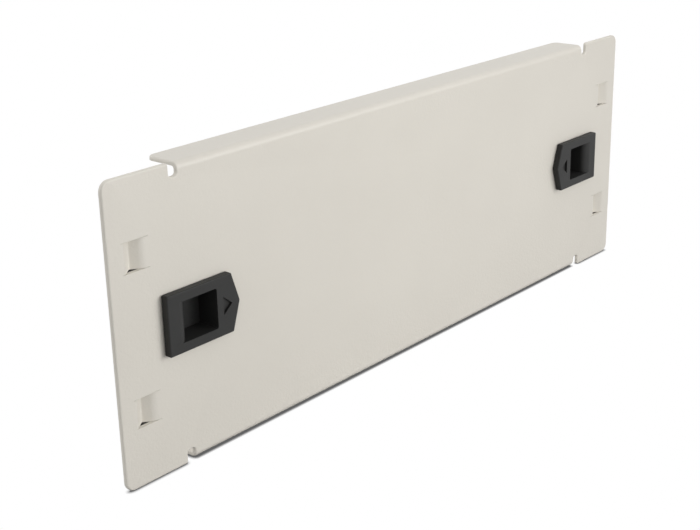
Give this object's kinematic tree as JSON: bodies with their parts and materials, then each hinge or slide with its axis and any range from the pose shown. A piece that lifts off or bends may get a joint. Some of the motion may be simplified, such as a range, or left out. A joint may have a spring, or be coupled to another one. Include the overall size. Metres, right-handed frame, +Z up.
{
  "type": "rack blanking panel",
  "caption": "Folded sheet-metal blanking panel for a rack, with locating lances in its ears and sprung sliding latches that hook behind the rails.",
  "frame": {"origin": "centre of the sheet's rear face, the plane that lies on the rack's rails", "axes": "+X to the right seen from the front, +Y back into the rack, +Z up"},
  "size_m": [0.254, 0.0147, 0.0882],
  "materials": {
    "coated_steel": "fine-textured matt powder coat, warm light grey",
    "latch_plastic": "moulded plastic, near black, fine matt grain",
    "spring_steel": "bright drawn spring wire"
  },
  "bodies": {
    "panel_body": {"panel": "coated_steel", "left_latch_guide": "coated_steel", "right_latch_guide": "coated_steel", "left_latch_spring": "spring_steel", "right_latch_spring": "spring_steel"},
    "left_latch": {"left_latch_slider": "latch_plastic"},
    "right_latch": {"right_latch_slider": "latch_plastic"}
  },
  "joints": [
    {"name": "left_latch_slide", "type": "slide", "parent": "panel_body", "child": "left_latch", "axis": [1, 0, 0], "range_m": [0, 0.0036], "stiffness_N_per_m": 500, "springref_m": -0.004, "deforming": ["left_latch_spring"]},
    {"name": "right_latch_slide", "type": "slide", "parent": "panel_body", "child": "right_latch", "axis": [-1, 0, 0], "range_m": [0, 0.0036], "stiffness_N_per_m": 500, "springref_m": -0.004, "deforming": ["right_latch_spring"]}
  ]
}
